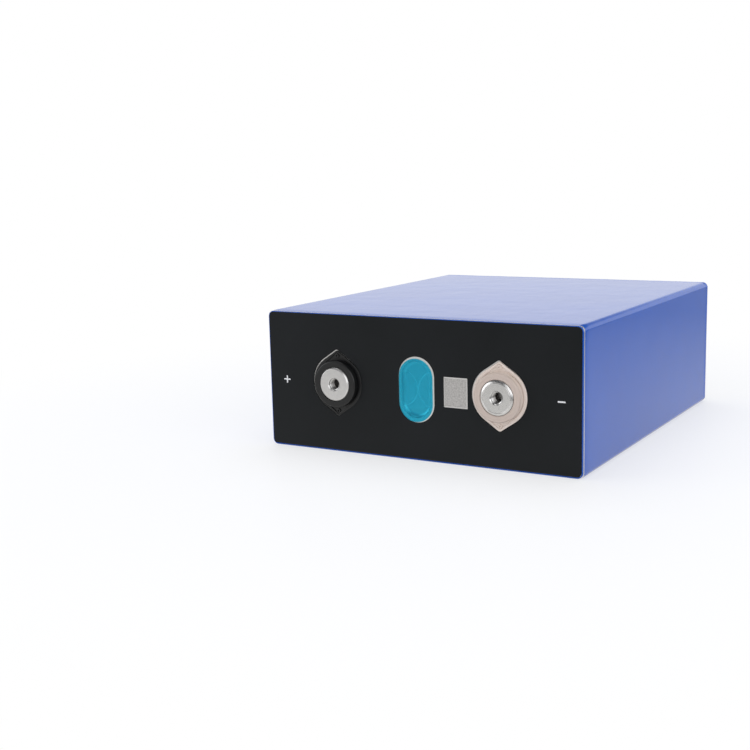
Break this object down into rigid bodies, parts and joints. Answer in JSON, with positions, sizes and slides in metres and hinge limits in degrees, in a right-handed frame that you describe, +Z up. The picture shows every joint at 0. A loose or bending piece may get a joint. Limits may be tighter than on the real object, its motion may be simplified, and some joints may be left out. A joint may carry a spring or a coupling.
{
  "type": "prismatic battery cell",
  "caption": "Flat rectangular rechargeable battery cell in a blue film sleeve, with tapped disc terminals, a burst vent and a black lid sheet, lying on a broad side.",
  "frame": {"origin": "centre of the broad side that the cell rests on, at the floor", "axes": "+X along the cell's width from the positive to the negative terminal, +Y from the terminals to the base, +Z up through the cell's thickness"},
  "size_m": [0.1738, 0.2072, 0.0715],
  "materials": {
    "blue_film": "glossy shrink film",
    "base_sheet": "satin sheet",
    "can_aluminium": "deep drawn",
    "lid_aluminium": "stamped",
    "lid_sheet": "satin film",
    "white_ink": "printed",
    "terminal_aluminium": "machined",
    "black_insulator": "moulded, satin",
    "tan_insulator": "moulded, satin",
    "vent_film": "glossy protective film",
    "vent_aluminium": "pressed",
    "positive_metal": "plain",
    "negative_metal": "plain copper",
    "seal_rubber": "matt",
    "plug_rubber": "matt",
    "inner_plastic": "moulded, natural",
    "bag_film": "insulating film",
    "separator": "microporous film",
    "electrode": "graphite coating",
    "tape": "adhesive tape"
  },
  "bodies": {
    "root": {"shrink_sleeve": "blue_film", "base_sheet": "base_sheet", "can": "can_aluminium", "lid_plate": "lid_aluminium", "lid_sheet": "lid_sheet", "plus_mark": "white_ink", "minus_mark": "white_ink", "positive_terminal": "terminal_aluminium", "negative_terminal": "terminal_aluminium", "positive_upper_insulator": "black_insulator", "negative_upper_insulator": "tan_insulator", "vent_film": "vent_film", "vent_disc": "vent_aluminium", "fill_cap": "vent_aluminium", "fill_plug": "plug_rubber", "positive_rivet": "positive_metal", "negative_rivet": "negative_metal", "positive_seal_ring": "seal_rubber", "negative_seal_ring": "seal_rubber", "positive_lower_insulator": "inner_plastic", "negative_lower_insulator": "inner_plastic", "vent_guard": "inner_plastic", "positive_collector": "positive_metal", "negative_collector": "negative_metal", "positive_tabs_lower": "positive_metal", "positive_tabs_upper": "positive_metal", "negative_tabs_lower": "negative_metal", "negative_tabs_upper": "negative_metal", "positive_weld_cover": "tape", "negative_weld_cover": "tape", "core_lower_separator": "separator", "core_upper_separator": "separator", "core_lower_winding": "electrode", "core_upper_winding": "electrode", "core_band_base": "tape", "core_band_lid": "tape", "inner_bag": "bag_film", "bottom_support": "inner_plastic"}
  },
  "joints": []
}
